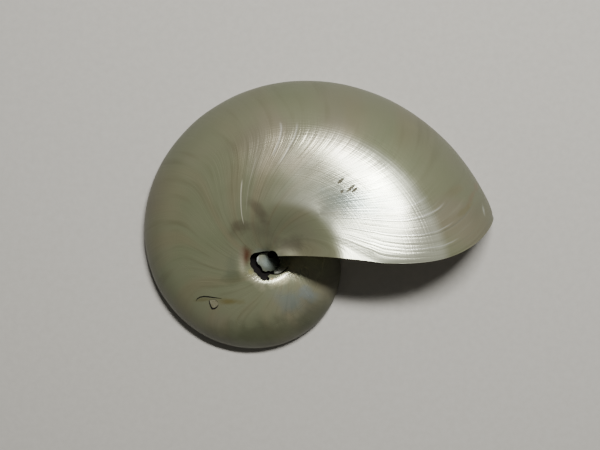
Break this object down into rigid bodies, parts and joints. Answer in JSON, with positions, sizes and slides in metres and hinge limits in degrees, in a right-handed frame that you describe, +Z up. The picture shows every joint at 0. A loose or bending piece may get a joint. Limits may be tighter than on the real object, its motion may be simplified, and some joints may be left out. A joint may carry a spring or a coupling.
{
  "type": "nautilus shell half",
  "caption": "Polished chambered nautilus shell sawn in half, a natural ornament that lies on its cut face.",
  "frame": {"origin": "where the coiling axis meets the flat sawn face, so the face lies on z = 0", "axes": "+Z up the coiling axis out of the domed side, +X from the coiling axis towards the aperture, +Y across the body chamber's back"},
  "size_m": [0.16, 0.1227, 0.0396],
  "materials": {
    "nacre": "polished mother-of-pearl"
  },
  "bodies": {
    "root": {"nautilus_shell_half": "nacre"}
  },
  "joints": []
}
